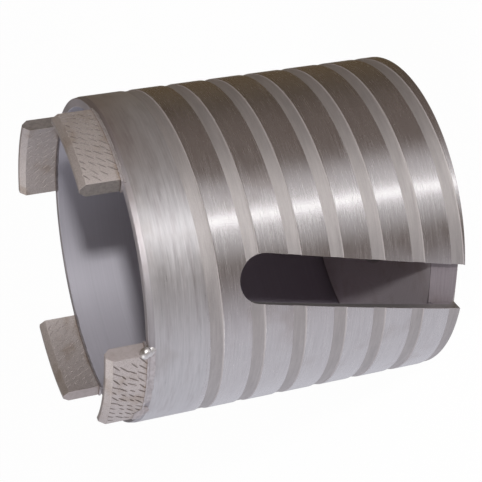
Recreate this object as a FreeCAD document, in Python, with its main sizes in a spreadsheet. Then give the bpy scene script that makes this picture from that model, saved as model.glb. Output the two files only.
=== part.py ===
import FreeCAD, Part
import os
import Sketcher

# Box hole cutter: a thin steel barrel, open at the front, whose rear end is closed by a welded
# back plate with a threaded drive hub. Four cutting segments are brazed on the front rim.
# The cutter stands on the end face of its hub: the origin is the centre of that face, +Z runs
# along the barrel towards the segments, and the middle of the slot faces -Y.
# All lengths are in millimetres and all angles in degrees.

SIZES = [
    ("barrel_diameter", 67.0, "outside diameter of the barrel"),
    ("barrel_wall", 2.0, "wall thickness of the barrel"),
    ("barrel_length", 66.0, "length of the barrel from rim to rim"),
    ("rim_bevel_length", 1.2, "length of the shallow bevel on the outside of the front rim"),
    ("rim_bevel_depth", 0.2, "how far that bevel drops at the rim"),
    ("groove_pitch", 8.5, "advance of the helical groove in one turn"),
    ("groove_width", 2.85, "width of the helical groove, along the barrel"),
    ("groove_depth", 0.2, "depth of the helical groove"),
    ("groove_setback", 8.6, "from the front rim to the middle of the groove where it ends"),
    ("groove_end_angle", 112.4, "where round the barrel the groove ends"),
    ("slot_width", 10.0, "width of the slanted slot, which is the cutter's own width"),
    ("slot_length", 47.5, "from the rear rim to the rounded end of the slot"),
    ("slot_slant", 13.0, "slant of the slot to the barrel's axis"),
    ("slot_end_angle", -82.6, "where round the barrel the rounded end of the slot lies"),
    ("slot_notch", 1.2, "how deep the slot's cutter ran into the rim of the back plate"),
    ("cut_margin", 1.0, "how far a cutting shape reaches past the surface that it cuts"),
    ("plate_thickness", 6.0, "thickness of the back plate"),
    ("plate_edge", 0.8, "chamfer on the front edge of the back plate"),
    ("fit_clearance", 0.02, "radial clearance of plate in barrel and of hub in plate"),
    ("weld_prep", 1.2, "leg of the weld between plate and barrel"),
    ("hub_diameter", 28.0, "outside diameter of the drive hub"),
    ("hub_height", 8.0, "how far the hub stands out behind the plate"),
    ("hub_edge", 1.0, "chamfer on the outer edge of the hub"),
    ("spigot_diameter", 21.0, "diameter of the hub where it passes through the plate"),
    ("thread_core", 14.0, "core diameter of the M16 thread"),
    ("thread_lead", 1.0, "chamfer at both mouths of the thread"),
    ("hub_weld_leg", 2.5, "leg of the weld between hub and plate"),
    ("segment_relief", 0.5, "how far a segment stands proud of the barrel, outside"),
    ("segment_thickness", 2.9, "radial thickness of a segment"),
    ("segment_chord", 20.0, "width of a segment between its parallel ends"),
    ("segment_height", 8.0, "height of a segment above its braze"),
    ("segment_bevel_rise", 1.2, "height of the bevels beside the cutting face"),
    ("segment_bevel_run", 1.0, "radial width of the bevels beside the cutting face"),
    ("braze_seam", 0.3, "thickness of the braze between rim and segment"),
    ("braze_overrun", 0.3, "how far the braze runs out past each end of a segment"),
    ("braze_inner_drop", 0.5, "how far the braze reaches down the inside of the barrel"),
    ("segment_angle_1", -26.0, "direction of the middle of the first segment"),
    ("segment_angle_2", 61.1, "direction of the middle of the second segment"),
    ("segment_angle_3", 151.6, "direction of the middle of the third segment"),
    ("segment_angle_4", 241.8, "direction of the middle of the fourth segment"),
]
SEGMENT_COUNT = 4
ARC_SWEEP = 90

# A new outline's corners lie scattered near this place until its constraints move them.
SCATTER_START = 20
SCATTER_STRIDE = 7
SCATTER_RANGE = 5

# Expressions that several pieces share, written on the sheet's aliases.
BARREL_OUTER = "Sizes.barrel_diameter / 2"
BARREL_INNER = "Sizes.barrel_diameter / 2 - Sizes.barrel_wall"
REAR_RIM = "Sizes.hub_height"
FRONT_RIM = "Sizes.hub_height + Sizes.barrel_length"
SLOT_FLOOR = BARREL_INNER + " - Sizes.slot_notch"
SLOT_LEAD = "2 * pi * Sizes.barrel_diameter / 2 / tan(Sizes.slot_slant * 1 deg)"
SLOT_END_RISE = FRONT_RIM + " - Sizes.barrel_length + Sizes.slot_length - Sizes.slot_width / 2"
SEGMENT_OUTER = "Sizes.barrel_diameter / 2 + Sizes.segment_relief"
SEGMENT_INNER = SEGMENT_OUTER + " - Sizes.segment_thickness"

doc = FreeCAD.newDocument("BoxHoleCutter")
sheet = doc.addObject("Spreadsheet::Sheet", "Sizes")
for row, (alias, value, note) in enumerate(SIZES, start=1):
    sheet.set(f"A{row}", alias)
    sheet.set(f"B{row}", str(value))
    sheet.set(f"C{row}", note)
    sheet.setAlias(f"B{row}", alias)
doc.recompute()


def origin_plane(body, role):
    """Return one of the body's own origin planes."""
    return next(item for item in body.Origin.OriginFeatures if item.Role == role)


def new_body(label, rise, turn="0"):
    """Start a body whose local zero lies `rise` above the origin, turned by `turn` about +Z."""
    body = doc.addObject("PartDesign::Body", label)
    body.Label = label
    body.setExpression("Placement", f"placement(vector(0; 0; {rise}); rotationz({turn}))")
    return body


def draw_outline(body, name, plane_role, corners):
    """Draw a closed outline of straight lines and bind each corner to the sheet.

    A corner is a pair of expressions, measured from the body's origin along the sketch's own
    axes; None stands for a corner on the axis.
    """
    sketch = body.newObject("Sketcher::SketchObject", name)
    sketch.AttachmentSupport = (origin_plane(body, plane_role), [""])
    sketch.MapMode = "FlatFace"
    count = len(corners)
    start = [
        FreeCAD.Vector(SCATTER_START + step, SCATTER_START + step * SCATTER_STRIDE % SCATTER_RANGE, 0)
        for step in range(count)
    ]
    for step in range(count):
        sketch.addGeometry(Part.LineSegment(start[step], start[(step + 1) % count]))
    for step in range(count):
        sketch.addConstraint(Sketcher.Constraint("Coincident", step, 2, (step + 1) % count, 1))
    for step, pair in enumerate(corners):
        for kind, axis, expression in zip(("DistanceX", "DistanceY"), (-2, -1), pair):
            if expression is None:
                sketch.addConstraint(Sketcher.Constraint("PointOnObject", step, 1, axis))
                continue
            begin = start[step].x if kind == "DistanceX" else start[step].y
            index = sketch.addConstraint(Sketcher.Constraint(kind, -1, 1, step, 1, begin))
            sketch.renameConstraint(index, f"{kind}{step}")
            sketch.setExpression(f"Constraints.{kind}{step}", expression)
    doc.recompute()
    return sketch


def revolve(body, name, corners):
    """Turn an outline of (radius, height) corners round the body's own Z axis."""
    profile = draw_outline(body, name + "_profile", "XZ_Plane", corners)
    turned = body.newObject("PartDesign::Revolution", name)
    turned.Profile = profile
    turned.ReferenceAxis = (profile, ["V_Axis"])
    turned.Angle = 360
    doc.recompute()
    return turned


def cut(base, tool, label):
    """Cut one object out of another and name the result."""
    piece = doc.addObject("Part::Cut", label)
    piece.Label = label
    piece.Base = base
    piece.Tool = tool
    return piece


# The slot's cutter follows a steep helix, as an end mill does while the barrel turns slowly.
# It is laid out from the slot's rounded end downwards, so its two shapes, the run and the
# rounded end, are turned upside down. The run goes half a width past the rear rim.
SLOT_FRAME = f"placement(vector(0; 0; {SLOT_END_RISE}); rotationz(Sizes.slot_end_angle) * rotationx(180))"
SLOT_REACH = "Sizes.slot_notch + Sizes.barrel_wall + Sizes.cut_margin"
ACROSS_SLOT = "placement(vector(0; -Sizes.slot_width / 2; 0); rotationz(0))"

slot_path = doc.addObject("Part::Helix", "slot_path")
slot_path.setExpression("Pitch", SLOT_LEAD)
slot_path.setExpression("Height", "Sizes.slot_length")
slot_path.setExpression("Radius", BARREL_OUTER)
slot_path.setExpression("Placement", SLOT_FRAME)

slot_section = doc.addObject("Part::Plane", "slot_section")
slot_section.setExpression("Length", SLOT_REACH)
slot_section.setExpression("Width", "Sizes.slot_width")
slot_section.setExpression(
    "Placement",
    f"{SLOT_FRAME} * placement(vector({SLOT_FLOOR}; 0; 0); rotationx(-Sizes.slot_slant)) * {ACROSS_SLOT}",
)

slot_run = doc.addObject("Part::Sweep", "slot_run")
slot_run.Sections = [slot_section]
slot_run.Spine = (slot_path, ["Edge1"])
slot_run.Solid = True
slot_run.Frenet = True

slot_end = doc.addObject("Part::Cylinder", "slot_end")
slot_end.setExpression("Radius", "Sizes.slot_width / 2")
slot_end.setExpression("Height", SLOT_REACH)
slot_end.setExpression(
    "Placement",
    f"{SLOT_FRAME} * placement(vector({SLOT_FLOOR}; 0; 0); rotationy(90))",
)
doc.recompute()

# The barrel: a turned tube with a shallow bevel at its front rim and a helical groove that
# starts behind that rim and runs out through the rear rim.
barrel_blank = new_body("barrel_blank", REAR_RIM, "Sizes.groove_end_angle")
revolve(barrel_blank, "tube", [
    (BARREL_INNER, None),
    (BARREL_OUTER, None),
    (BARREL_OUTER, "Sizes.barrel_length - Sizes.rim_bevel_length"),
    (BARREL_OUTER + " - Sizes.rim_bevel_depth", "Sizes.barrel_length"),
    (BARREL_INNER, "Sizes.barrel_length"),
])
GROOVE_TOP = "Sizes.barrel_length - Sizes.groove_setback + Sizes.groove_width / 2"
GROOVE_BOTTOM = "Sizes.barrel_length - Sizes.groove_setback - Sizes.groove_width / 2"
groove_profile = draw_outline(barrel_blank, "groove_profile", "XZ_Plane", [
    (BARREL_OUTER + " - Sizes.groove_depth", GROOVE_BOTTOM),
    (BARREL_OUTER + " + Sizes.cut_margin", GROOVE_BOTTOM),
    (BARREL_OUTER + " + Sizes.cut_margin", GROOVE_TOP),
    (BARREL_OUTER + " - Sizes.groove_depth", GROOVE_TOP),
])
groove = barrel_blank.newObject("PartDesign::SubtractiveHelix", "groove")
groove.Profile = groove_profile
groove.ReferenceAxis = (groove_profile, ["V_Axis"])
groove.Mode = "pitch-height-angle"
groove.Reversed = True
groove.setExpression("Pitch", "Sizes.groove_pitch")
groove.setExpression("Height", "Sizes.barrel_length - Sizes.groove_setback + Sizes.groove_width")
doc.recompute()
barrel = cut(cut(barrel_blank, slot_run, "open_barrel"), slot_end, "barrel")

# The back plate: a disc pressed into the rear of the barrel, flush with the rear rim, with its
# rear edge prepared for the weld. The slot's cutter leaves a flat notch in its rim.
plate_blank = new_body("plate_blank", REAR_RIM)
PLATE_OUTER = BARREL_INNER + " - Sizes.fit_clearance"
revolve(plate_blank, "disc", [
    ("Sizes.spigot_diameter / 2 + Sizes.fit_clearance", None),
    (PLATE_OUTER + " - Sizes.weld_prep", None),
    (PLATE_OUTER, "Sizes.weld_prep"),
    (PLATE_OUTER, "Sizes.plate_thickness - Sizes.plate_edge"),
    (PLATE_OUTER + " - Sizes.plate_edge", "Sizes.plate_thickness"),
    ("Sizes.spigot_diameter / 2 + Sizes.fit_clearance", "Sizes.plate_thickness"),
])
back_plate = cut(plate_blank, slot_run, "back_plate")

# The weld that fills the prepared edge between plate and barrel; the slot interrupts it.
plate_weld_blank = new_body("plate_weld_blank", REAR_RIM)
revolve(plate_weld_blank, "rim_bead", [
    (PLATE_OUTER + " - Sizes.weld_prep", None),
    (BARREL_INNER, None),
    (BARREL_INNER, "Sizes.weld_prep"),
    (PLATE_OUTER, "Sizes.weld_prep"),
])
plate_weld = cut(plate_weld_blank, slot_run, "plate_weld")

# The drive hub: a turned boss behind the plate, with a spigot that passes through it and ends
# flush with its front face. The thread runs through both.
drive_hub = new_body("drive_hub", "0")
HUB_LENGTH = "Sizes.hub_height + Sizes.plate_thickness"
revolve(drive_hub, "boss", [
    ("Sizes.thread_core / 2 + Sizes.thread_lead", None),
    ("Sizes.hub_diameter / 2 - Sizes.hub_edge", None),
    ("Sizes.hub_diameter / 2", "Sizes.hub_edge"),
    ("Sizes.hub_diameter / 2", "Sizes.hub_height"),
    ("Sizes.spigot_diameter / 2", "Sizes.hub_height"),
    ("Sizes.spigot_diameter / 2", HUB_LENGTH),
    ("Sizes.thread_core / 2 + Sizes.thread_lead", HUB_LENGTH),
    ("Sizes.thread_core / 2", HUB_LENGTH + " - Sizes.thread_lead"),
    ("Sizes.thread_core / 2", "Sizes.thread_lead"),
])

# The fillet weld in the corner between hub and plate.
hub_weld = new_body("hub_weld", REAR_RIM + " - Sizes.hub_weld_leg")
revolve(hub_weld, "corner_bead", [
    ("Sizes.hub_diameter / 2", None),
    ("Sizes.hub_diameter / 2 + Sizes.hub_weld_leg", "Sizes.hub_weld_leg"),
    ("Sizes.hub_diameter / 2", "Sizes.hub_weld_leg"),
])


def arc_piece(label, rise, turn, corners, width):
    """Turn a section into an arc about +X and cut both its ends parallel, `width` apart."""
    body = new_body(label, rise, turn)
    profile = draw_outline(body, label + "_section", "XZ_Plane", corners)
    arc = body.newObject("PartDesign::Revolution", label + "_arc")
    arc.Profile = profile
    arc.ReferenceAxis = (profile, ["V_Axis"])
    arc.Midplane = True
    arc.Angle = ARC_SWEEP
    doc.recompute()
    far = SEGMENT_OUTER + " + Sizes.cut_margin"
    half = f"({width}) / 2"
    waste = draw_outline(body, label + "_waste", "XY_Plane", [
        (None, half),
        (far, half),
        (far, far),
        (None, far),
    ])
    end = body.newObject("PartDesign::Pocket", label + "_end")
    end.Profile = waste
    end.Type = "ThroughAll"
    end.Midplane = True
    doc.recompute()
    ends = body.newObject("PartDesign::Mirrored", label + "_ends")
    ends.Originals = [end]
    ends.MirrorPlane = (origin_plane(body, "XZ_Plane"), [""])
    body.Tip = ends
    doc.recompute()
    return body


def build_segment(number):
    """Build one cutting segment: an arc with parallel ends and a bevel each side of its face."""
    shoulder = "Sizes.segment_height - Sizes.segment_bevel_rise"
    section = [
        (SEGMENT_INNER, None),
        (SEGMENT_OUTER, None),
        (SEGMENT_OUTER, shoulder),
        (SEGMENT_OUTER + " - Sizes.segment_bevel_run", "Sizes.segment_height"),
        (SEGMENT_INNER + " + Sizes.segment_bevel_run", "Sizes.segment_height"),
        (SEGMENT_INNER, shoulder),
    ]
    rise = FRONT_RIM + " + Sizes.braze_seam"
    turn = f"Sizes.segment_angle_{number}"
    return arc_piece(f"segment_{number}", rise, turn, section, "Sizes.segment_chord")


def build_braze(number):
    """Build the braze under one segment: a thin seam with a skirt down each side of the wall."""
    rim = "Sizes.rim_bevel_length"
    section = [
        (BARREL_OUTER, None),
        (SEGMENT_OUTER, rim),
        (SEGMENT_OUTER, rim + " + Sizes.braze_seam"),
        (SEGMENT_INNER, rim + " + Sizes.braze_seam"),
        (SEGMENT_INNER, rim),
        (BARREL_INNER, rim + " - Sizes.braze_inner_drop"),
        (BARREL_INNER, rim),
        (BARREL_OUTER + " - Sizes.rim_bevel_depth", rim),
    ]
    rise = FRONT_RIM + " - Sizes.rim_bevel_length"
    turn = f"Sizes.segment_angle_{number}"
    width = "Sizes.segment_chord + 2 * Sizes.braze_overrun"
    return arc_piece(f"braze_{number}", rise, turn, section, width)


segments = [build_segment(number) for number in range(1, SEGMENT_COUNT + 1)]
seams = [build_braze(number) for number in range(1, SEGMENT_COUNT + 1)]
doc.recompute()

PIECES = [barrel, back_plate, plate_weld, drive_hub, hub_weld] + segments + seams

for item in doc.Objects:
    if "Invalid" in item.State or "Error" in item.State:
        raise RuntimeError(f"{item.Label} did not build: {item.State}")
for piece in PIECES:
    if piece.Shape.isNull() or not piece.Shape.isValid():
        raise RuntimeError(f"{piece.Label} has no valid solid")

os.makedirs("parts", exist_ok=True)
for piece in PIECES:
    piece.Shape.exportStep(f"parts/{piece.Label}.step")
    print(f"{piece.Label}: {len(piece.Shape.Solids)} solid, {piece.Shape.Volume:.1f} mm3")
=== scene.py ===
"""A box hole cutter: a grooved steel barrel with four brazed segments, a back plate and a hub."""

import logging
import math
import random
from collections.abc import Sequence
from dataclasses import dataclass
from enum import Enum

import bmesh
import bpy
from mathutils import Matrix, Vector, noise


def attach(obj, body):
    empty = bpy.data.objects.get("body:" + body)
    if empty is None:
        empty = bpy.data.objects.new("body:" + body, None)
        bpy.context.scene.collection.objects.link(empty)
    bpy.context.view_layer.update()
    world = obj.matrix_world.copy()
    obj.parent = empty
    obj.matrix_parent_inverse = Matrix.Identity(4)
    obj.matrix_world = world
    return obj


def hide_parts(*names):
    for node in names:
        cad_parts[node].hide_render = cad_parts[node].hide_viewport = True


LOG = logging.getLogger("hole_cutter")
MM = 0.001
FULL_TURN = 360.0

Point = tuple[float, float]
Colour = tuple[float, float, float]
Socket = bpy.types.NodeSocket
Object = bpy.types.Object
Material = bpy.types.Material

WHITE: Colour = (1.0, 1.0, 1.0)


class Slot(Enum):
    """The record's material slots, by name."""

    BARREL = "barrel_steel"
    WELD = "weld_metal"
    HUB = "hub_steel"
    SEGMENT = "segment_matrix"
    BRAZE = "silver_braze"


class Wire:
    """A number that leaves a node and takes part in Python arithmetic."""

    def __init__(self, graph: "Graph", socket: Socket) -> None:
        """Keep the socket and the graph that it belongs to."""
        self.graph = graph
        self.socket = socket

    def __add__(self, other: "Wire | float") -> "Wire":
        """Return self + other."""
        return self.graph.math("ADD", self, other)

    __radd__ = __add__

    def __sub__(self, other: "Wire | float") -> "Wire":
        """Return self - other."""
        return self.graph.math("SUBTRACT", self, other)

    def __rsub__(self, other: float) -> "Wire":
        """Return other - self."""
        return self.graph.math("SUBTRACT", other, self)

    def __mul__(self, other: "Wire | float") -> "Wire":
        """Return self * other."""
        return self.graph.math("MULTIPLY", self, other)

    __rmul__ = __mul__

    def __truediv__(self, other: "Wire | float") -> "Wire":
        """Return self / other."""
        return self.graph.math("DIVIDE", self, other)

    def __rtruediv__(self, other: float) -> "Wire":
        """Return other / self."""
        return self.graph.math("DIVIDE", other, self)

    def between(self, low: float, high: float) -> "Wire":
        """Return a smooth step that is 0 at low and 1 at high."""
        settings = {"interpolation_type": "SMOOTHSTEP"}
        return self.graph.wire("ShaderNodeMapRange", settings, {0: self, 1: low, 2: high})


class Graph:
    """A node tree that is built one node at a time."""

    def __init__(self, tree: bpy.types.NodeTree) -> None:
        """Start on an emptied tree."""
        self.tree = tree
        self.tree.nodes.clear()

    def node(self, kind: str, settings: dict, inputs: dict) -> bpy.types.Node:
        """Add one node.

        Args:
            kind: the node's type.
            settings: its properties, set before its sockets.
            inputs: a value, a Wire or a socket for each input, by name or number.

        Returns:
            The node.
        """
        node = self.tree.nodes.new(kind)
        for key, value in settings.items():
            setattr(node, key, value)
        for key, value in inputs.items():
            socket = node.inputs[key]
            if isinstance(value, Wire):
                value = value.socket
            if isinstance(value, Socket):
                self.tree.links.new(value, socket)
            elif socket.type == "RGBA" and len(value) == 3:
                socket.default_value = (*value, 1.0)
            else:
                socket.default_value = value
        return node

    def wire(self, kind: str, settings: dict, inputs: dict) -> Wire:
        """Add a node and return the number that leaves its first output."""
        return Wire(self, self.node(kind, settings, inputs).outputs[0])

    def math(self, operation: str, *values: Wire | Socket | float) -> Wire:
        """Add a Math node and return its result."""
        return self.wire("ShaderNodeMath", {"operation": operation}, dict(enumerate(values)))

    def combine(self, *parts: Wire | Socket | float) -> Socket:
        """Join three numbers into one vector."""
        return self.node("ShaderNodeCombineXYZ", {}, dict(enumerate(parts))).outputs[0]

    def split(self, vector: Socket) -> list[Wire]:
        """Return a vector's three parts."""
        parts = self.node("ShaderNodeSeparateXYZ", {}, {0: vector})
        return [Wire(self, part) for part in parts.outputs]

    def vector_math(self, operation: str, vector: Socket, more: dict) -> Socket:
        """Add a Vector Math node and return its vector."""
        settings = {"operation": operation}
        return self.node("ShaderNodeVectorMath", settings, {0: vector, **more}).outputs[0]

    def mix(self, factor: Wire, first: object, second: object, blend: str = "MIX") -> Socket:
        """Mix two colours, each a tuple or a socket, and return the colour."""
        settings = {"data_type": "RGBA", "blend_type": blend}
        return self.node("ShaderNodeMix", settings, {0: factor, 6: first, 7: second}).outputs[2]

    def tint(self, colour: Socket, factor: Wire, shade: Colour) -> Socket:
        """Multiply a colour by a shade, as far as factor says, and return the colour."""
        return self.mix(factor, colour, shade, "MULTIPLY")

    def shades(self, factor: Wire, colour: Colour, low: float, high: float) -> Socket:
        """Mix a colour's darker and lighter shades, low and high times the colour."""
        darker, lighter = (tuple(part * share for part in colour) for share in (low, high))
        return self.mix(factor, darker, lighter)


class FinishGraph(Graph):
    """The node tree of one material, which reads the piece's own coordinates."""

    def __init__(self, name: str) -> None:
        """Start an empty material.

        Args:
            name: the material's name.
        """
        self.material = bpy.data.materials.new(name)
        self.material.use_nodes = True
        super().__init__(self.material.node_tree)
        place = self.node("ShaderNodeTexCoord", {}, {}).outputs["Object"]
        self.scaled = self.vector_math("SCALE", place, {3: 1.0 / MM})
        self.x, self.y, self.z = self.split(self.scaled)
        self.radius = self.math("SQRT", self.x * self.x + self.y * self.y)

    def noise(self, place: Socket, scale: float, detail: float, rough: float) -> Wire:
        """Return the noise at a place, near 0.5 and from about 0 to 1."""
        inputs = {"Vector": place, "Scale": scale, "Detail": detail, "Roughness": rough}
        return self.wire("ShaderNodeTexNoise", {}, inputs)

    def grain(self, scale: float = 1.0, detail: float = 2.0, rough: float = 0.5,
              stretch: tuple[float, float, float] = (1.0, 1.0, 1.0)) -> Wire:
        """Return noise on the piece's own millimetres.

        Args:
            scale: the number of features to the millimetre.
            detail: the octaves.
            rough: how strong the small octaves are.
            stretch: how much the pattern is squeezed along X, Y and Z.

        Returns:
            A value near 0.5 that varies from about 0 to 1.
        """
        place = self.vector_math("MULTIPLY", self.scaled, {1: stretch})
        return self.noise(place, scale, detail, rough)

    def ridges(self, height: Wire, depth: float) -> Socket:
        """Return a normal raised by height times depth millimetres."""
        return self.node("ShaderNodeBump", {}, {"Height": height, "Distance": depth * MM}).outputs[0]

    def surface(self, inputs: dict) -> Material:
        """Finish the material with one Principled shader.

        Args:
            inputs: a value, a Wire or a socket for each of the shader's inputs.

        Returns:
            The material.
        """
        shader = self.node("ShaderNodeBsdfPrincipled", {}, inputs)
        self.node("ShaderNodeOutputMaterial", {}, {0: shader.outputs[0]})
        return self.material


@dataclass(frozen=True)
class BarrelFinish:
    """Turned steel: brushed lands, matt groove floors, a smooth inner wall and milled edges.

    Lengths are in millimetres, angles in degrees. Soiled, heated, smudged and cool are shades that
    the other colours are multiplied by. Deep and bevel are painted shade: deep darkens the bore deep
    down, and bevel dims the highlight on the front rim's bevel. Side is a lighter colour painted on
    the groove's side walls as a painted highlight.
    """

    land: Colour = (0.50, 0.475, 0.468)
    groove: Colour = (0.395, 0.368, 0.36)
    inside: Colour = (0.428, 0.416, 0.462)
    milled: Colour = (0.30, 0.28, 0.275)
    # Painted highlight for the groove's side walls.
    side: Colour = (0.44, 0.405, 0.405)
    face: Colour = (0.42, 0.39, 0.41)
    soiled: Colour = (0.62, 0.55, 0.50)
    # Painted shade for the bore, deep down.
    deep: Colour = (0.84, 0.76, 0.80)
    heated: Colour = (0.70, 0.59, 0.54)
    smudged: Colour = (0.72, 0.67, 0.67)
    bevel: Colour = (0.76, 0.74, 0.755)
    # Painted shade that dims the highlight on the front rim's bevel.
    cool: Colour = (0.95, 0.968, 0.99)
    bevel_start: float = 1.3
    front_land: Point = (60.5, 63.5)
    lit_bore: Point = (34.0, 56.0)
    heat_reach: Point = (9.0, 1.0)
    seam_angle: float = -14.0
    seam_spread: Point = (10.0, 34.0)
    relief: float = 0.016

    def build(self, groove_floor: float, inner: float, front: float) -> Material:
        """Return the barrel's material.

        Args:
            groove_floor: the radius of the groove's floor, in millimetres.
            inner: the radius of the inner wall, in millimetres.
            front: the height of the front rim, in millimetres.

        Returns:
            The material.
        """
        graph = FinishGraph("barrel_steel_finish")
        outside = graph.radius.between(inner + 0.05, inner + 0.15)
        in_bore = 1.0 - outside
        bevelled = graph.z.between(front - self.bevel_start, front - self.bevel_start + 0.1) * outside
        on_face = graph.z.between(front - 0.11, front - 0.03) * outside
        on_land = graph.radius.between(groove_floor + 0.14, groove_floor + 0.18)
        on_land = on_land + bevelled * (1.0 - on_land)
        on_floor = graph.radius.between(groove_floor - 0.15, groove_floor - 0.05) * (1.0 - on_land)
        on_side = graph.radius.between(groove_floor + 0.02, groove_floor + 0.05) * (1.0 - on_land)
        ahead = on_land * graph.z.between(*self.front_land)

        brush = graph.grain(detail=3.0, rough=0.6, stretch=(0.11, 0.11, 3.4))
        scratch = graph.grain(stretch=(0.40, 0.40, 8.0))
        smudge = graph.grain(detail=4.0, rough=0.65, stretch=(0.10, 0.10, 0.8))
        turned = graph.grain(stretch=(0.03, 0.03, 3.0))
        patch = graph.grain(0.09, 3.0)
        tooth = graph.grain(5.0)
        streak = (brush - 0.5) * (1.0 + ahead * 0.5) + (scratch - 0.5) * 0.8

        land = graph.shades(streak + 0.5, self.land, 0.84, 1.12)
        land = graph.tint(land, patch.between(0.52, 0.75) * 0.5, self.soiled)
        land = graph.tint(land, smudge.between(0.46, 0.68) * (0.12 + ahead * 0.28), self.smudged)
        land = graph.tint(land, self._heat(graph, front) * (0.3 + patch * 0.6), self.heated)
        # Painted shade: the front rim's bevel is darkened to dim the highlight that it catches.
        land = graph.tint(land, bevelled, self.bevel)
        land = graph.tint(land, ahead, self.cool)

        worn = streak * 0.9 + (tooth - 0.5) * 0.6 + (smudge - 0.5) * 1.2
        floor = graph.shades(worn + 0.5, self.groove, 0.80, 1.16)
        wall = graph.shades(turned, self.inside, 0.90, 1.06)
        # Painted shade: the bore wall is darkened deeper down, below its lit part near the front.
        wall = graph.tint(wall, 1.0 - graph.z.between(*self.lit_bore), self.deep)
        # Painted highlight: the groove's side walls take a lighter, less metallic colour, so they read as a
        # lit line.
        edge = graph.mix(on_side, graph.shades(scratch, self.milled, 0.85, 1.10), self.side)
        colour = graph.mix(on_land, graph.mix(on_floor * (1.0 - on_side), edge, floor), land)
        colour = graph.mix(on_face, colour, graph.shades(patch.between(0.35, 0.65), self.face, 0.78, 1.08))
        colour = graph.mix(in_bore, colour, wall)

        metallic = 0.75 + on_land * 0.17 - in_bore * 0.45 - ahead * 0.18 - on_side * 0.35 - on_face * 0.30
        roughness = 0.46 + on_land * (streak * 0.20 - 0.22) + bevelled * 0.16
        roughness = roughness + ahead * 0.12 + on_floor * 0.06 + in_bore * 0.06
        height = on_land * (brush * 0.6 + scratch * 0.4) + on_floor * tooth * 0.8 + in_bore * turned * 0.4
        return graph.surface({
            "Base Color": colour,
            "Metallic": metallic,
            "Roughness": roughness,
            "Normal": graph.ridges(height, self.relief),
        })

    def _heat(self, graph: FinishGraph, front: float) -> Wire:
        """Return where brazing heated the wall longest.

        Args:
            graph: the material's tree.
            front: the height of the front rim, in millimetres.

        Returns:
            1 at the front rim beside the first segment, and 0 away from it.
        """
        angle = graph.math("ARCTAN2", graph.y, graph.x) * (FULL_TURN / math.tau) - self.seam_angle
        near_rim = graph.z.between(*(front - reach for reach in self.heat_reach))
        return near_rim * (1.0 - graph.math("ABSOLUTE", angle).between(*self.seam_spread))


@dataclass(frozen=True)
class PlainFinish:
    """A metal whose colour, shine and relief vary with grain, turning marks and stains, with painted shade
    beyond a radius.
    """

    name: str
    light: Colour
    dark: Colour
    stain: Colour
    metallic: float = 0.9
    roughness: float = 0.42
    spread: float = 0.12
    grain_scale: float = 3.0
    relief: float = 0.02
    turned: float = 0.0
    ring_scale: float = 4.0
    stained: float = 0.5
    rim_shade: Colour = (0.40, 0.38, 0.385)
    rim_shade_beyond: float = 1000.0

    def build(self) -> Material:
        """Build the metal.

        Returns:
            The material.
        """
        graph = FinishGraph(self.name)
        broad = graph.grain(self.grain_scale / 12.0, 3.0)
        texture = graph.grain(self.grain_scale, 3.0, 0.6)
        if self.turned:
            across = graph.combine(graph.radius * self.ring_scale, graph.z * self.ring_scale, 0.0)
            rings = graph.noise(across, 1.0, 2.0, 0.5)
            texture = texture * (1.0 - self.turned) + rings * self.turned
        colour = graph.mix(texture.between(0.25, 0.75), self.dark, self.light)
        colour = graph.tint(colour, broad.between(0.5, 0.72) * self.stained, self.stain)
        # Painted shade: beyond a radius the colour is darkened, where the plate meets the barrel's wall.
        outside = graph.radius.between(self.rim_shade_beyond, self.rim_shade_beyond + 0.2)
        return graph.surface({
            "Base Color": graph.tint(colour, outside, self.rim_shade),
            "Metallic": self.metallic,
            "Roughness": self.roughness + (texture - 0.5) * self.spread + broad * self.spread,
            "Normal": graph.ridges(texture, self.relief),
        })


BRAZE_FINISH = PlainFinish(
    "silver_braze_finish", (0.50, 0.462, 0.465), (0.33, 0.295, 0.29), (0.88, 0.80, 0.76),
    metallic=0.6, roughness=0.34, grain_scale=0.9, relief=0.03, stained=0.8,
)
DROP_FINISH = PlainFinish(
    "solder_drop_finish", (0.66, 0.64, 0.63), (0.50, 0.48, 0.465), (0.84, 0.78, 0.72),
    metallic=0.85, roughness=0.36, grain_scale=0.8, relief=0.01, stained=0.3,
)
# The plate's rim beyond 30 mm takes painted shade.
PLATE_FINISH = PlainFinish(
    "plate_steel_finish", (0.62, 0.57, 0.60), (0.50, 0.455, 0.48), (0.80, 0.76, 0.74),
    metallic=0.28, roughness=0.46, relief=0.02, turned=0.7, stained=0.4, rim_shade_beyond=30.0,
)
HUB_FINISH = PlainFinish(
    "hub_steel_finish", (0.54, 0.52, 0.51), (0.38, 0.365, 0.36), (0.66, 0.62, 0.60),
    metallic=0.92, roughness=0.32, relief=0.015, turned=0.8, stained=0.35,
)
WELD_FINISH = PlainFinish(
    "weld_metal_finish", (0.50, 0.47, 0.44), (0.24, 0.22, 0.21), (0.45, 0.36, 0.42),
    metallic=0.85, roughness=0.34, grain_scale=1.6, relief=0.03, stained=0.8,
)


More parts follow.
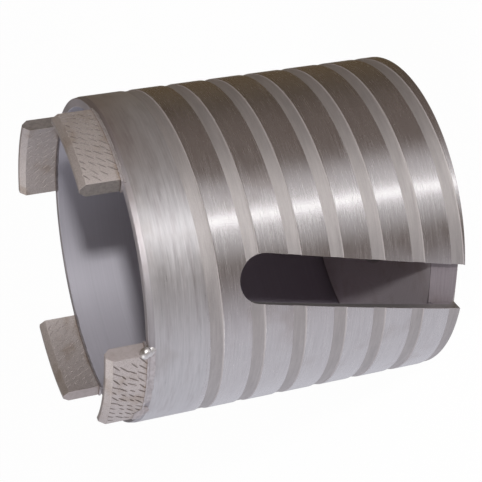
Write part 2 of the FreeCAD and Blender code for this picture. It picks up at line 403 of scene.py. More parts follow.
@dataclass(frozen=True)
class SegmentFinish:
    """Sintered metal: fine grit and dark dents, with painted light on the ends: painted shade, darker and
    browner, on ends that face clockwise seen from the front, and a lighter painted colour on ends that face
    anticlockwise.
    """

    face: Colour = (0.52, 0.468, 0.45)
    grit: Colour = (0.37, 0.328, 0.312)
    # Painted shade on the ends, mottled between two darker colours, and a lighter painted colour for lit
    # ends.
    end: Colour = (0.18, 0.16, 0.148)
    darker_end_shade: Colour = (0.12, 0.106, 0.098)
    lit_end: Colour = (0.42, 0.37, 0.37)
    dent: Colour = (0.17, 0.146, 0.138)
    brown: Colour = (0.60, 0.50, 0.38)
    flux: Colour = (0.34, 0.24, 0.18)
    end_turn: Point = (0.72, 0.86)
    skin: Point = (0.004, 0.014)
    relief: float = 0.03

    def build(self, outer: float, inner: float, shoulder: float, base: float) -> Material:
        """Return the segments' material.

        Args:
            outer: the radius of the outer face, in millimetres.
            inner: the radius of the inner face.
            shoulder: the height at which the bevels begin.
            base: the height of the brazed base.

        Returns:
            The material.
        """
        graph = FinishGraph("segment_matrix_finish")
        fine = graph.grain(4.5, 3.0, 0.6)
        broad = graph.grain(0.22, 3.0)
        end_mottle = graph.grain(1.3, 4.0, 0.7)
        facing = graph.node("ShaderNodeTexCoord", {}, {}).outputs["Normal"]
        across, along, _ = graph.split(facing)
        turning = (along * graph.x - across * graph.y) / graph.radius
        on_end = graph.math("ABSOLUTE", turning).between(*self.end_turn)
        on_lit_end = turning.between(*self.end_turn)

        shallow, full = self.skin
        below = 1.0 - graph.z.between(shoulder - 0.15, shoulder + 0.05)
        on_sides = below * (1.0 - on_end)
        in_outer = 1.0 - graph.radius.between(outer - full, outer - shallow)
        dented = in_outer * graph.radius.between(inner + 0.9, inner + 1.1) * on_sides
        in_inner = graph.radius.between(inner + shallow, inner + full)
        hollow = in_inner * (1.0 - graph.radius.between(inner + 0.3, inner + 0.4)) * on_sides

        colour = graph.mix(fine.between(0.30, 0.62), self.grit, self.face)
        # Painted shade: the ends are darkened, mottled by noise.
        shaded_end = graph.mix(end_mottle.between(0.36, 0.60), self.darker_end_shade, self.end)
        colour = graph.mix(on_end * 0.9, colour, shaded_end)
        # Painted light: ends that face anticlockwise get a lighter colour.
        lit_end_colour = graph.mix(end_mottle.between(0.30, 0.60), self.grit, self.lit_end)
        colour = graph.mix(on_lit_end * 0.9, colour, lit_end_colour)
        colour = graph.mix(dented * (0.45 + broad * 0.9), colour, self.dent)
        colour = graph.mix(hollow * 0.4, colour, self.dent)
        low = 1.0 - graph.z.between(base + 0.1, base + 1.1)
        stain = broad.between(0.50, 0.70) * 0.45 + low * broad.between(0.35, 0.6) * 0.5
        colour = graph.tint(colour, stain, self.brown)
        joint = 1.0 - graph.z.between(base + 0.12, base + 0.34)
        colour = graph.tint(colour, joint * 0.8, self.flux)
        return graph.surface({
            "Base Color": colour,
            "Metallic": (0.55 - on_end * 0.25) * (1.0 - dented) * (1.0 - hollow),
            "Roughness": 0.50 + (fine - 0.5) * 0.2 + on_end * 0.12 + (dented + hollow) * 0.4,
            "Normal": graph.ridges(fine, self.relief),
        })


def put(name: str, data: bpy.types.ID) -> Object:
    """Put a new object that holds this data into the scene.

    Args:
        name: the object's name.
        data: its mesh, lamp or camera.

    Returns:
        The object.
    """
    item = bpy.data.objects.new(name, data)
    bpy.context.scene.collection.objects.link(item)
    return item


def adopt(piece: Object, limit: float, slot: Slot, *nodes: str) -> Object:
    """Shade a piece smooth and make it part of the object.

    Args:
        piece: the piece.
        limit: an edge stays sharp where it turns by more than this, in degrees.
        slot: a slot of the record; not used.
        nodes: the CAD nodes that it replaces.

    Returns:
        The piece.
    """
    piece.data.shade_smooth()
    piece.data.set_sharp_from_angle(angle=math.radians(limit))
    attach(piece, "root")
    if nodes:
        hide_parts(*nodes)
    return piece


def settle(name: str, shape: bmesh.types.BMesh, *materials: Material) -> bpy.types.Mesh:
    """Turn a shape under construction into a mesh.

    Args:
        name: the mesh's name.
        shape: the shape, which is freed.
        materials: the mesh's materials.

    Returns:
        The mesh.
    """
    mesh = bpy.data.meshes.new(name)
    shape.to_mesh(mesh)
    shape.free()
    for material in materials:
        mesh.materials.append(material)
    return mesh


def skin(rings: Sequence[Sequence[Vector]], closed: bool) -> bmesh.types.BMesh:
    """Skin rings of points into a closed surface with its faces outwards.

    Args:
        rings: one loop of points for each station along the path, all of one length.
        closed: whether the last ring joins the first; if not, both ends get a cap.

    Returns:
        The shape.
    """
    shape = bmesh.new()
    loops = [[shape.verts.new(point) for point in ring] for ring in rings]
    pairs = list(zip(loops, loops[1:]))
    if closed:
        pairs.append((loops[-1], loops[0]))
    for near, far in pairs:
        for step in range(len(near)):
            after = (step + 1) % len(near)
            shape.faces.new((near[step], near[after], far[after], far[step]))
    if not closed:
        shape.faces.new(loops[0])
        shape.faces.new(loops[-1])
    bmesh.ops.recalc_face_normals(shape, faces=shape.faces)
    shape.normal_update()
    return shape


def outline(name: str, section: Sequence[Point], path_radius: float) -> bpy.types.Mesh:
    """Return a section as a loop of edges that Curve to Mesh can turn round a circle.

    Args:
        name: the mesh's name.
        section: the corners as (radius, height) in millimetres, anticlockwise.
        path_radius: the radius of the circle, in millimetres.

    Returns:
        The loop, whose X runs outwards and whose Y runs downwards, as a swept profile's do.
    """
    mesh = bpy.data.meshes.new(name)
    count = len(section)
    edges = [(step, (step + 1) % count) for step in range(count)]
    points = [((radius - path_radius) * MM, -height * MM, 0.0) for radius, height in reversed(section)]
    mesh.from_pydata(points, edges, [])
    return mesh


def station(section: Sequence[Point], across: float) -> list[Vector]:
    """Return where a plane beside the axis meets rings, in millimetres.

    Args:
        section: each ring as (radius, height).
        across: the distance of the plane from the axis.

    Returns:
        One point for each ring.
    """
    return [
        Vector((math.sqrt(radius * radius - across * across), across, height)) * MM
        for radius, height in section
    ]


def polar(radius: float, angle: float, height: float) -> Vector:
    """Return the point at a radius, an angle in degrees and a height, in millimetres."""
    turn = math.radians(angle)
    return Vector((radius * math.cos(turn), radius * math.sin(turn), height)) * MM


def direction(azimuth: float, elevation: float) -> Vector:
    """Return the unit vector at an azimuth and an elevation in degrees."""
    turn, rise = math.radians(azimuth), math.radians(elevation)
    return Vector((math.cos(rise) * math.cos(turn), math.cos(rise) * math.sin(turn), math.sin(rise)))


class Recipe(Graph):
    """A Geometry Nodes tree with named inputs."""

    def __init__(self, name: str, inputs: dict[str, float | int | Material]) -> None:
        """Start a tree.

        Args:
            name: the tree's name.
            inputs: the value of each named input.
        """
        super().__init__(bpy.data.node_groups.new(name, "GeometryNodeTree"))
        self.values = inputs
        self.keys: dict[str, str] = {}
        face = self.tree.interface
        face.new_socket(name="Geometry", in_out="INPUT", socket_type="NodeSocketGeometry")
        for label, value in inputs.items():
            kind = {int: "Int", float: "Float", Material: "Material"}[type(value)]
            socket = face.new_socket(name=label, in_out="INPUT", socket_type="NodeSocket" + kind)
            self.keys[label] = socket.identifier
        face.new_socket(name="Geometry", in_out="OUTPUT", socket_type="NodeSocketGeometry")
        self.source = self.tree.nodes.new("NodeGroupInput")

    def size(self, label: str) -> Wire:
        """Return a named input."""
        return Wire(self, self.source.outputs[label])

    def make(self, kind: str, settings: dict, inputs: dict) -> Socket:
        """Add a geometry node and return its first output."""
        return self.node("GeometryNode" + kind, settings, inputs).outputs[0]

    def cut(self, body: Wire | Socket, tool: Socket) -> Socket:
        """Cut one closed mesh out of another."""
        settings = {"operation": "DIFFERENCE", "solver": "MANIFOLD"}
        return self.make("MeshBoolean", settings, {"Mesh 1": body, "Mesh 2": tool})

    def sweep(self, path: Socket, profile: Socket) -> Socket:
        """Sweep a profile along a path, standing upright all the way."""
        upright = self.make("SetCurveNormal", {"mode": "Z_UP"}, {"Curve": path})
        return self.make("CurveToMesh", {}, {"Curve": upright, "Profile Curve": profile, "Fill Caps": True})

    def turn(self) -> Socket:
        """Return the starting outline swept round a circle.

        Returns:
            The turned mesh, from the inputs "Path radius" and "Steps around".
        """
        sizes = {"Resolution": self.size("Steps around"), "Radius": self.size("Path radius")}
        circle = self.make("CurvePrimitiveCircle", {}, sizes)
        return self.sweep(circle, self.make("MeshToCurve", {}, {"Mesh": self.size("Geometry")}))

    def helix(self, label: str, steps: int, bar: Socket, angle: float, height: float) -> Socket:
        """Return a bar that follows a right-handed helix.

        Args:
            label: the first word of the inputs that give the helix's radius, turns and rise.
            steps: the stations along the helix, for each turn.
            bar: the bar's section, with its depth along X and its width along Y.
            angle: where the helix starts, in degrees.
            height: the height at which it starts, in millimetres.

        Returns:
            The bar's mesh.
        """
        radius = self.size(f"{label} radius")
        path = self.make("CurveSpiral", {}, {
            "Resolution": steps, "Rotations": self.size(f"{label} turns"), "Start Radius": radius,
            "End Radius": radius, "Height": self.size(f"{label} rise"), "Reverse": True,
        })
        return self.make("Transform", {}, {
            "Geometry": self.sweep(path, bar),
            "Translation": (0.0, 0.0, height * MM),
            "Rotation": (0.0, 0.0, math.radians(angle)),
        })

    def grow(self, name: str, start: bpy.types.Mesh, geometry: Socket) -> Object:
        """End the tree with Realize Instances and Set Material, and run it on a mesh.

        Args:
            name: the name of the object and its mesh.
            start: the mesh that the tree starts from.
            geometry: what the tree makes of it.

        Returns:
            An object that holds the plain result.
        """
        real = self.make("RealizeInstances", {}, {"Geometry": geometry})
        dressed = self.make("SetMaterial", {}, {"Geometry": real, "Material": self.size("Finish")})
        self.node("NodeGroupOutput", {}, {0: dressed})
        piece = put(name, start)
        modifier = piece.modifiers.new("recipe", "NODES")
        modifier.node_group = self.tree
        for label, value in self.values.items():
            modifier[self.keys[label]] = value
        graph = bpy.context.evaluated_depsgraph_get()
        result = bpy.data.meshes.new_from_object(piece.evaluated_get(graph), depsgraph=graph)
        piece.modifiers.remove(modifier)
        piece.data = result
        result.name = name
        return piece


@dataclass(frozen=True)
class Barrel:
    """The turned tube with its helical groove and its slot. Sizes are in millimetres."""

    finish: BarrelFinish = BarrelFinish()
    diameter: float = 67.0
    wall: float = 2.0
    rear: float = 8.0
    length: float = 66.0
    rim_bevel_length: float = 1.2
    rim_bevel_depth: float = 0.2
    edge: float = 0.12
    groove_pitch: float = 8.5
    groove_width: float = 2.85
    groove_depth: float = 0.2
    groove_slant: float = 0.32
    groove_setback: float = 8.6
    groove_end: float = 112.4
    groove_turns: float = 7.2
    cutter_depth: float = 2.0
    slot_width: float = 10.0
    slot_end_angle: float = -82.6
    slot_end_height: float = 50.5
    slot_run: float = 47.5
    slot_twist: float = 0.39486
    slot_margin: float = 1.5
    slot_steps: int = 600
    peg_sides: int = 96
    around: int = 360
    sharp: float = 6.0

    @property
    def outer(self) -> float:
        """Return the outer radius."""
        return self.diameter / 2.0

    @property
    def inner(self) -> float:
        """Return the inner radius."""
        return self.outer - self.wall

    @property
    def front(self) -> float:
        """Return the height of the front rim."""
        return self.rear + self.length

    def build(self) -> list[Object]:
        """Build the barrel.

        Returns:
            The one piece, which replaces the barrel's CAD node.
        """
        sizes = {
            "Path radius": self.outer * MM,
            "Steps around": self.around,
            "Groove radius": (self.outer + self.cutter_depth / 2.0 - self.groove_depth) * MM,
            "Groove depth": self.cutter_depth * MM,
            "Groove width": self.groove_width * MM,
            "Groove slant": self.groove_slant * MM,
            "Groove spread": (self.cutter_depth / self.groove_depth - 1.0) * self.groove_slant * MM,
            "Groove turns": self.groove_turns,
            "Groove rise": self.groove_turns * self.groove_pitch * MM,
            "Slot radius": self.outer * MM,
            "Slot turns": self.slot_run * self.slot_twist / FULL_TURN,
            "Slot rise": self.slot_run * MM,
            "Slot depth": (self.wall + 2.0 * self.slot_margin) * MM,
            "Slot width": self.slot_width * MM,
            "Finish": self.finish.build(self.outer - self.groove_depth, self.inner, self.front),
        }
        recipe = Recipe("grooved_barrel", sizes)
        tube = recipe.turn()
        for tool in (self._groove(recipe), self._slot(recipe), self._slot_end(recipe)):
            tube = recipe.cut(tube, tool)
        piece = recipe.grow("cutter_barrel", outline("barrel_section", self._section(), self.outer), tube)
        return [adopt(piece, self.sharp, Slot.BARREL, "barrel")]

    def _section(self) -> list[Point]:
        """Work out the wall's section.

        Returns:
            The corners as (radius, height), with the rims' small edges.
        """
        lip = self.outer - self.rim_bevel_depth
        return [
            (self.inner + self.edge, self.rear),
            (self.outer - self.edge, self.rear),
            (self.outer, self.rear + self.edge),
            (self.outer, self.front - self.rim_bevel_length),
            (lip, self.front - self.edge),
            (lip - self.edge, self.front),
            (self.inner + self.edge, self.front),
            (self.inner, self.front - self.edge),
            (self.inner, self.rear + self.edge),
        ]

    def _groove(self, recipe: Recipe) -> Socket:
        """Return the bar that cuts the helical groove.

        Args:
            recipe: the barrel's tree.

        Returns:
            The bar, whose rear side slants.
        """
        deep = recipe.size("Groove depth") / 2.0
        wide = recipe.size("Groove width") / 2.0
        floor = deep * -1.0
        ahead = wide * -1.0
        bar = recipe.make("CurvePrimitiveQuadrilateral", {"mode": "POINTS"}, {
            "Point 1": recipe.combine(deep, wide + recipe.size("Groove spread"), 0.0),
            "Point 2": recipe.combine(floor, wide - recipe.size("Groove slant"), 0.0),
            "Point 3": recipe.combine(floor, ahead, 0.0),
            "Point 4": recipe.combine(deep, ahead, 0.0),
        })
        angle = self.groove_end - self.groove_turns * FULL_TURN
        height = self.front - self.groove_setback - self.groove_turns * self.groove_pitch
        return recipe.helix("Groove", self.around, bar, angle, height)

    def _slot(self, recipe: Recipe) -> Socket:
        """Return the bar that cuts the slot's run.

        Args:
            recipe: the barrel's tree.

        Returns:
            The bar, from behind the rear rim to the middle of the slot's rounded end.
        """
        sizes = {"Width": recipe.size("Slot depth"), "Height": recipe.size("Slot width")}
        bar = recipe.make("CurvePrimitiveQuadrilateral", {}, sizes)
        angle = self.slot_end_angle - self.slot_run * self.slot_twist
        return recipe.helix("Slot", self.slot_steps, bar, angle, self.slot_end_height - self.slot_run)

    def _slot_end(self, recipe: Recipe) -> Socket:
        """Return the peg that cuts the slot's rounded end.

        Args:
            recipe: the barrel's tree.

        Returns:
            The peg, which points at the axis.
        """
        peg = recipe.make("MeshCylinder", {"fill_type": "NGON"}, {
            "Vertices": self.peg_sides,
            "Radius": recipe.size("Slot width") / 2.0,
            "Depth": recipe.size("Slot depth"),
        })
        return recipe.make("Transform", {}, {
            "Geometry": peg,
            "Translation": polar(self.outer, self.slot_end_angle, self.slot_end_height),
            "Rotation": (0.0, math.radians(90.0), math.radians(self.slot_end_angle)),
        })


@dataclass(frozen=True)
class Seat:
    """Where one segment sits and how its braze lies.

    Turn is the angle of the segment's middle, in degrees. The rest is in millimetres: the braze is
    thin before run_start, skirt is how far it comes down the wall, and smear is how far it climbs
    the face near the segment's end.
    """

    number: int
    turn: float
    run_start: float
    skirt: float
    smear: float


@dataclass(frozen=True)
class SegmentRing:
    """The four cutting segments with their rows of small dents, and the braze under them.

    Sizes are in millimetres, and angles in degrees.
    """

    barrel: Barrel = Barrel()
    seats: tuple[Seat, ...] = (
        Seat(1, -26.0, -13.0, 0.45, 0.0),
        Seat(2, 61.1, -12.0, 0.8, 0.0),
        Seat(3, 151.6, -12.0, 0.8, 0.0),
        Seat(4, 241.8, -5.5, 1.25, 1.3),
    )
    seam: float = 0.3
    height: float = 8.0
    inner: float = 31.1
    outer: float = 34.0
    chord: float = 20.0
    bevel_rise: float = 1.2
    bevel_run: float = 1.0
    edge: float = 0.10
    edge_angle: float = 20.0
    along: int = 40
    sharp: float = 4.0
    dent_pitch: float = 1.65
    row_pitch: float = 1.75
    first_row: float = 1.0
    row_margin: float = 0.6
    end_margin: float = 0.6
    end_clear: float = 0.9
    dent_length: float = 2.6
    dent_width: float = 0.36
    dent_depth: float = 0.44
    dent_lean: float = 49.0
    dent_lifts: Point = (0.05, -0.11)
    stray: float = 0.2
    lean_stray: float = 10.0
    stretches: Point = (0.55, 1.1)
    smear_start: float = 5.8
    overrun: float = 0.3
    braze_steps: int = 96
    braze_sharp: float = 60.0

    @property
    def base(self) -> float:
        """Return the height of the segments' brazed foot."""
        return self.barrel.front + self.seam

    @property
    def shoulder(self) -> float:
        """Return the height at which the bevels begin."""
        return self.base + self.height - self.bevel_rise

    def build(self) -> list[Object]:
        """Build the segments and their braze.

        Returns:
            The four segments, each followed by its seam.
        """
        matrix = SegmentFinish().build(self.outer, self.inner, self.shoulder, self.base)
        silver = BRAZE_FINISH.build()
        pieces = []
        for seat in self.seats:
            pieces.append(self._segment(seat, matrix))
            pieces.append(self._braze(seat, silver))
        return pieces

    def _blank(self, seat: Seat) -> bpy.types.Mesh:
        """Return one plain segment with parallel ends and worn edges.

        Args:
            seat: where the segment sits.

        Returns:
            The mesh.
        """
        top = self.base + self.height
        section = [
            (self.inner, self.base),
            (self.outer, self.base),
            (self.outer, self.shoulder),
            (self.outer - self.bevel_run, top),
            (self.inner + self.bevel_run, top),
            (self.inner, self.shoulder),
        ]
        half = self.chord / 2.0
        stations = [half * (2.0 * step / self.along - 1.0) for step in range(self.along + 1)]
        shape = skin([station(section, across) for across in stations], False)
        limit = math.radians(self.edge_angle)
        worn = [edge for edge in shape.edges if edge.calc_face_angle(0.0) > limit]
        bmesh.ops.bevel(shape, geom=worn, offset=self.edge * MM, segments=2, profile=0.6,
                        affect="EDGES", clamp_overlap=True)
        turn = Matrix.Rotation(math.radians(seat.turn), 3, "Z")
        bmesh.ops.rotate(shape, verts=shape.verts, matrix=turn)
        return settle(f"segment_{seat.number}_blank", shape)

    def _segment(self, seat: Seat, matrix: Material) -> Object:
        """Return a segment with rows of slanted dents in its outer and inner faces.

        Args:
            seat: where the segment sits.
            matrix: its material.

        Returns:
            The piece, which replaces the segment's CAD node.
        """
        sizes = {
            "Dent length": self.dent_length * MM,
            "Dent width": self.dent_width * MM,
            "Dent depth": self.dent_depth * MM,
            "Finish": matrix,
        }
        recipe = Recipe(f"dented_segment_{seat.number}", sizes)
        points, layers = self._dents(seat)
        spots = bpy.data.meshes.new(f"segment_{seat.number}_spots")
        spots.from_pydata(points, [], [])
        for label, values in layers.items():
            spots.attributes.new(label, "FLOAT", "POINT").data.foreach_set("value", values)
        holder = put(spots.name, spots)
        places = recipe.node("GeometryNodeObjectInfo", {}, {"Object": holder}).outputs["Geometry"]
        turned, leaned, long = (
            recipe.make("InputNamedAttribute", {"data_type": "FLOAT"}, {"Name": label}) for label in layers
        )
        length = recipe.size("Dent length") * long
        dents = recipe.make("InstanceOnPoints", {}, {
            "Points": places,
            "Instance": recipe.make("MeshUVSphere", {}, {"Segments": 10, "Rings": 6, "Radius": 0.5}),
            "Rotation": recipe.combine(leaned, 0.0, turned),
            "Scale": recipe.combine(recipe.size("Dent depth"), length, recipe.size("Dent width")),
        })
        tools = recipe.make("RealizeInstances", {}, {"Geometry": dents})
        dented = recipe.cut(recipe.size("Geometry"), tools)
        piece = recipe.grow(f"cutter_segment_{seat.number}", self._blank(seat), dented)
        bpy.data.objects.remove(holder)
        return adopt(piece, self.sharp, Slot.SEGMENT, f"segment_{seat.number}")

    def _dents(self, seat: Seat) -> tuple[list[Vector], dict[str, list[float]]]:
        """Scatter the dents of one segment.

        Args:
            seat: where the segment sits. Its number seeds the scatter.

        Returns:
            Where the dents are, and how each is turned, leans and is stretched.
        """
        luck = random.Random(seat.number)
        points: list[Vector] = []
        layers: dict[str, list[float]] = {"turn": [], "lean": [], "long": []}
        rows = int((self.height - self.bevel_rise - self.row_margin) / self.row_pitch) + 1
        columns = int((self.chord - 2.0 * self.end_margin) / self.dent_pitch)
        for row in range(rows):
            for column in range(columns + 1):
                shift = (row % 2) * self.dent_pitch / 2.0
                across = (column - columns / 2.0) * self.dent_pitch + shift
                across = across + luck.uniform(-self.stray, self.stray)
                rise = self.base + self.first_row + row * self.row_pitch
                rise = rise + luck.uniform(-self.stray, self.stray)
                stretch = luck.uniform(*self.stretches)
                lean = self.dent_lean + luck.uniform(-self.lean_stray, self.lean_stray)
                if abs(across) > self.chord / 2.0 - self.end_clear:
                    continue
                for radius, lift in zip((self.outer, self.inner), self.dent_lifts):
                    angle = seat.turn + math.degrees(math.asin(across / radius))
                    points.append(polar(radius + lift, angle, rise))
                    layers["turn"].append(math.radians(angle))
                    layers["lean"].append(math.radians(lean))
                    layers["long"].append(stretch)
        return points, layers

    def _braze(self, seat: Seat, silver: Material) -> Object:
        """Return one seam of braze: a thin layer with an uneven skirt down each side of the wall.

        Args:
            seat: where the segment sits.
            silver: the braze's material.

        Returns:
            The piece, which replaces the seam's CAD node.
        """
        half = self.chord / 2.0 + self.overrun
        stations = [half * (2.0 * step / self.braze_steps - 1.0) for step in range(self.braze_steps + 1)]
        rings = [station(self._braze_section(seat, across), across) for across in stations]
        mesh = settle(f"seam_braze_{seat.number}", skin(rings, False), silver)
        mesh.transform(Matrix.Rotation(math.radians(seat.turn), 4, "Z"))
        return adopt(put(mesh.name, mesh), self.braze_sharp, Slot.BRAZE, f"braze_{seat.number}")

    def _braze_section(self, seat: Seat, across: float) -> list[Point]:
        """Return the section of a seam of braze at one station.

        Args:
            seat: where the segment sits.
            across: how far the station is from the segment's middle.

        Returns:
            The corners as (radius, height), from the foot of the outer skirt to that of the inner.
        """
        wave = noise.noise(Vector((across * 0.55, seat.number * 7.0, 0.0)))
        ripple = noise.noise(Vector((across * 1.9, seat.number * 5.0, 3.0)))
        heap = min(1.0, max(0.0, -across - self.smear_start) / 1.2) * seat.smear
        run = min(1.0, max(0.12, (across - seat.run_start) / 2.0, heap))
        skirt = seat.skirt * (1.15 + 0.55 * wave) * run
        inner_skirt = 0.36 + 0.14 * wave
        swell = (0.24 + 0.14 * ripple + 0.10 * wave) * run * min(1.0, seat.skirt)
        rim, wall_outer, wall_inner = self.barrel.front, self.barrel.outer, self.barrel.inner
        return [
            (wall_outer - 0.1, rim - skirt),
            (wall_outer + swell * 0.9, rim - skirt * 0.75),
            (wall_outer + swell * 0.4, rim - skirt * 0.45),
            (wall_outer + 0.12 + heap * 0.25, rim - skirt * 0.15),
            (self.outer + 0.04 + swell * 0.3 + heap * 0.05, rim + 0.1),
            (self.outer + 0.02 + heap * 0.05, self.base + 0.15 + 0.15 * ripple + heap),
            (self.outer - 0.3, self.base + 0.1),
            (self.inner + 0.3, self.base + 0.1),
            (self.inner - 0.02, self.base + 0.15 - 0.12 * ripple),
            (wall_inner - 0.16 - swell * 0.2, rim - inner_skirt * 0.1),
            (wall_inner - swell * 0.3, rim - inner_skirt * 0.5),
            (wall_inner + 0.1, rim - inner_skirt * 0.9),
        ]


@dataclass(frozen=True)
class Drop:
    """A drop of braze: the radius, angle and height of its middle, its own radius and its stretch."""

    radius: float
    angle: float
    height: float
    size: float
    stretch: float


@dataclass(frozen=True)
class SolderDrops:
    """The two drops beside the fourth segment. Sizes are in millimetres, and angles in degrees."""

    drops: tuple[Drop, ...] = (
        Drop(33.80, -100.4, 74.75, 1.05, 1.25),
        Drop(32.60, -101.2, 73.5, 1.15, 1.5),
    )
    slant: float = 35.0
    lumps: float = 0.9
    unevenness: float = 0.10
    sharp: float = 60.0

    def build(self) -> list[Object]:
        """Build the drops.

        Returns:
            Both drops as one piece.
        """
        shape = bmesh.new()
        slant = math.radians(self.slant)
        for drop in self.drops:
            centre = polar(drop.radius, drop.angle, drop.height)
            round_wall = direction(drop.angle - 90.0, 0.0)
            axis = round_wall * math.cos(slant) + Vector((0.0, 0.0, math.sin(slant)))
            longer = Matrix.Scale(drop.stretch, 3, axis)
            made = bmesh.ops.create_icosphere(shape, subdivisions=4, radius=drop.size * MM)
            for vertex in made["verts"]:
                bump = noise.noise(vertex.co / MM * self.lumps + Vector((drop.angle, 0.0, 0.0)))
                vertex.co = longer @ (vertex.co * (1.0 + self.unevenness * bump)) + centre
        mesh = settle("solder_drops", shape, DROP_FINISH.build())
        return [adopt(put(mesh.name, mesh), self.sharp, Slot.BRAZE)]


@dataclass(frozen=True)
class BackEnd:
    """The back plate, the drive hub with its thread, and the two welds. Sizes are in millimetres."""

    barrel: Barrel = Barrel()
    plate_front: float = 14.0
    hub_radius: float = 14.0
    spigot_radius: float = 10.5
    hub_edge: float = 1.0
    core: float = 7.0
    thread_major: float = 8.0
    thread_pitch: float = 2.0
    thread_steps: int = 72
    lead: float = 1.0
    around: int = 180
    hub_sharp: float = 20.0
    weld_leg: float = 2.5
    weld_wave: float = 0.12
    weld_bulge: float = 0.12
    ripple_height: float = 0.22
    ripple_angle: float = 4.0
    weld_steps: int = 720
    weld_parts: int = 6
    weld_sharp: float = 50.0

    def build(self) -> list[Object]:
        """Build the hub and its weld, and dress the plate and the plate's weld.

        Returns:
            The two new pieces.
        """
        self._dress("back_plate", PLATE_FINISH.build())
        weld = WELD_FINISH.build()
        self._dress("plate_weld", weld)
        return [self._hub(), self._hub_weld(weld)]

    @staticmethod
    def _dress(node: str, material: Material) -> None:
        """Give every material slot of a CAD node one material."""
        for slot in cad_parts[node].material_slots:
            slot.material = material

    def _hub(self) -> Object:
        """Return the hub with an internal thread cut by a helix.

        Returns:
            The piece, which replaces the hub's CAD node.
        """
        section = [
            (self.core + self.lead, 0.0),
            (self.hub_radius - self.hub_edge, 0.0),
            (self.hub_radius, self.hub_edge),
            (self.hub_radius, self.barrel.rear),
            (self.spigot_radius, self.barrel.rear),
            (self.spigot_radius, self.plate_front),
            (self.core + self.lead, self.plate_front),
            (self.core, self.plate_front - self.lead),
            (self.core, self.lead),
        ]
        turns = (self.plate_front + 2.0 * self.thread_pitch) / self.thread_pitch
        sizes = {
            "Path radius": self.hub_radius * MM,
            "Steps around": self.around,
            "Thread radius": self.core * MM,
            "Thread depth": (self.thread_major - self.core) * MM,
            "Thread turns": turns,
            "Thread rise": turns * self.thread_pitch * MM,
            "Finish": HUB_FINISH.build(),
        }
        recipe = Recipe("threaded_hub", sizes)
        body = recipe.turn()
        diamond = {"Resolution": 4, "Radius": recipe.size("Thread depth")}
        tooth = recipe.make("CurvePrimitiveCircle", {"mode": "RADIUS"}, diamond)
        cutter = recipe.helix("Thread", self.thread_steps, tooth, 0.0, -self.thread_pitch)
        start = outline("hub_section", section, self.hub_radius)
        piece = recipe.grow("threaded_hub", start, recipe.cut(body, cutter))
        return adopt(piece, self.hub_sharp, Slot.HUB, "drive_hub")

    def _hub_weld(self, weld: Material) -> Object:
        """Return the fillet weld round the hub, with the ripples of its passes.

        Args:
            weld: the welds' material.

        Returns:
            The piece, which replaces the weld's CAD node.
        """
        rear = self.barrel.rear
        rings = []
        for step in range(self.weld_steps):
            angle = step * FULL_TURN / self.weld_steps
            turn = math.radians(angle)
            phase = (angle / self.ripple_angle) % 1.0
            ripple = math.sqrt(max(0.0, 1.0 - (2.0 * phase - 1.0) ** 2)) * self.ripple_height
            wave = noise.noise(Vector((math.cos(turn) * 3.0, math.sin(turn) * 3.0, 0.0)))
            leg = self.weld_leg + self.weld_wave * wave
            ring = [(self.hub_radius - 0.1, rear + 0.05)]
            for part in range(self.weld_parts + 1):
                share = part / self.weld_parts
                bulge = math.sin(math.pi * share) * (self.weld_bulge + ripple) * 0.7
                ring.append((
                    self.hub_radius + leg * (1.0 - share) + bulge - 0.02,
                    rear - leg * share - bulge + 0.02,
                ))
            rings.append([polar(radius, angle, height) for radius, height in ring])
        mesh = settle("ripple_weld", skin(rings, True), weld)
        return adopt(put(mesh.name, mesh), self.weld_sharp, Slot.WELD, "hub_weld")


@dataclass(frozen=True)
class Lamp:
    """A soft rectangular lamp that points at the object. Lengths are in metres."""

    name: str
    azimuth: float
    elevation: float
    distance: float
    width: float
    height: float
    power: float
    colour: Colour

    def build(self, aim: Vector) -> None:
        """Add the lamp to the scene.

        Args:
            aim: the point that it shines at.
        """
        data = bpy.data.lights.new(self.name, "AREA")
        data.shape = "RECTANGLE"
        data.size = self.width
        data.size_y = self.height
        data.energy = self.power
        data.color = self.colour
        lamp = put(self.name, data)
        lamp.location = aim + direction(self.azimuth, self.elevation) * self.distance
        lamp.rotation_euler = (aim - lamp.location).to_track_quat("-Z", "Y").to_euler()


@dataclass(frozen=True)
class Glow:
    """An upright band of soft light in the surroundings, brightest at one azimuth in degrees."""

    azimuth: float
    half_width: float
    colour: Colour


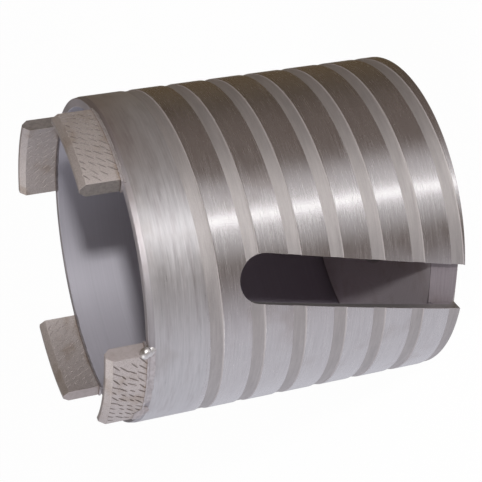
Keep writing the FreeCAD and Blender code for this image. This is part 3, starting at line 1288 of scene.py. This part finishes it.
@dataclass(frozen=True)
class Studio:
    """The floor, the backdrop, the lamps and the camera.

    The aim and the camera's distance are in millimetres, and the floor's radius in metres.
    """

    aim: tuple[float, float, float] = (-0.836, -0.347, 43.008)
    azimuth: float = -67.431
    elevation: float = 18.647
    roll: float = 99.796
    distance: float = 323.13
    lens: float = 114.985
    sensor: float = 36.0
    clip: Point = (0.01, 100.0)
    floor_radius: float = 3.0
    floor_colour: Colour = (0.92, 0.92, 0.92)
    floor_shadow: float = 0.05
    floor_glow: float = 1.02
    ambient: Colour = (0.070, 0.044, 0.020)
    glow_fade: Point = (0.35, 0.85)
    glows: tuple[Glow, ...] = (
        Glow(-180.0, 95.0, (0.78, 0.82, 0.935)),
        Glow(-110.0, 45.0, (0.10, 0.09, 0.10)),
        Glow(-53.0, 34.0, (0.70, 0.72, 0.77)),
        Glow(-55.0, 3.0, (3.9, 4.05, 4.15)),
        Glow(-15.0, 62.0, (0.080, 0.066, 0.070)),
        Glow(80.0, 45.0, (0.045, 0.034, 0.018)),
    )
    lamps: tuple[Lamp, ...] = (
        Lamp("key", -57.2, 13.2, 1.1, 0.06, 0.06, 7.2, (1.0, 0.99, 0.98)),
        Lamp("side", -155.0, 48.0, 1.2, 0.6, 0.6, 3.1, (0.96, 0.98, 1.0)),
    )

    def build(self) -> None:
        """Build the whole studio."""
        target = Vector(self.aim) * MM
        self._camera(target)
        for lamp in self.lamps:
            lamp.build(target)
        self._floor()
        self._world()

    def _camera(self, target: Vector) -> None:
        """Place the camera as the photograph's camera stood.

        Args:
            target: the point at the middle of its view.
        """
        data = bpy.data.cameras.new("camera")
        data.lens = self.lens
        data.sensor_width = self.sensor
        data.clip_start, data.clip_end = self.clip
        camera = put("camera", data)
        back = direction(self.azimuth, self.elevation)
        right = Vector((0.0, 0.0, 1.0)).cross(back).normalized()
        above = back.cross(right)
        roll = math.radians(self.roll)
        up = above * math.cos(roll) + right * math.sin(roll)
        side = up.cross(back)
        turn = Matrix((side, up, back)).transposed().to_4x4()
        camera.matrix_world = Matrix.Translation(target + back * self.distance * MM) @ turn
        bpy.context.scene.camera = camera

    def _floor(self) -> None:
        """Lay a round pale floor under the hub, which metal doesn't mirror, to take the shadow."""
        shape = bmesh.new()
        bmesh.ops.create_circle(shape, cap_ends=True, segments=128, radius=self.floor_radius)
        graph = FinishGraph("floor_finish")
        rays = graph.node("ShaderNodeLightPath", {}, {})
        paint = graph.node("ShaderNodeBsdfDiffuse", {}, {"Color": self.floor_colour})
        white = graph.node("ShaderNodeEmission", {}, {"Color": WHITE, "Strength": self.floor_glow})
        seen = Wire(graph, rays.outputs["Is Camera Ray"]) * (1.0 - self.floor_shadow)
        shown = graph.node("ShaderNodeMixShader", {}, {0: seen, 1: paint.outputs[0], 2: white.outputs[0]})
        graph.node("ShaderNodeOutputMaterial", {}, {0: shown.outputs[0]})
        floor = put("floor", settle("floor", shape, graph.material))
        floor.visible_glossy = False
        floor.visible_shadow = False

    def _world(self) -> None:
        """Surround the object with soft light, and show the backdrop white to the camera."""
        world = bpy.data.worlds.new("studio")
        bpy.context.scene.world = world
        world.use_nodes = True
        graph = Graph(world.node_tree)
        look = graph.node("ShaderNodeTexCoord", {}, {}).outputs["Generated"]
        level = graph.vector_math("MULTIPLY", look, {1: (1.0, 1.0, 0.0)})
        level = graph.vector_math("NORMALIZE", level, {})
        low = 1.0 - graph.split(look)[2].between(*self.glow_fade)
        light = self.ambient
        for glow in self.glows:
            axes = {0: level, 1: tuple(direction(glow.azimuth, 0.0))}
            facing = graph.node("ShaderNodeVectorMath", {"operation": "DOT_PRODUCT"}, axes)
            edge = math.cos(math.radians(glow.half_width))
            share = Wire(graph, facing.outputs["Value"]).between(edge, 1.0) * low
            light = graph.mix(share, light, glow.colour, "ADD")
        rays = graph.node("ShaderNodeLightPath", {}, {})
        light = graph.mix(Wire(graph, rays.outputs["Is Camera Ray"]), light, WHITE)
        shine = graph.node("ShaderNodeBackground", {}, {0: light})
        graph.node("ShaderNodeOutputWorld", {}, {0: shine.outputs[0]})


def main() -> None:
    logging.basicConfig(level=logging.INFO, format="%(name)s: %(message)s")
    bpy.context.scene.view_settings.view_transform = "Standard"
    Studio().build()
    for assembly in (Barrel(), SegmentRing(), SolderDrops(), BackEnd()):
        for piece in assembly.build():
            LOG.info("%s has %d faces", piece.name, len(piece.data.polygons))


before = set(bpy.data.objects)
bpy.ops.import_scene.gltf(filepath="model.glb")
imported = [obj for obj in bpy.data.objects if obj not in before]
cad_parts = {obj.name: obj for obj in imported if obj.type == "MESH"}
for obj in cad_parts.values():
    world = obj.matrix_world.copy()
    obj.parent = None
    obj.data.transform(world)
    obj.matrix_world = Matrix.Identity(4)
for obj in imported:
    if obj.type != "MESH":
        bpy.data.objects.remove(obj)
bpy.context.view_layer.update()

if __name__ == "__main__":
    main()
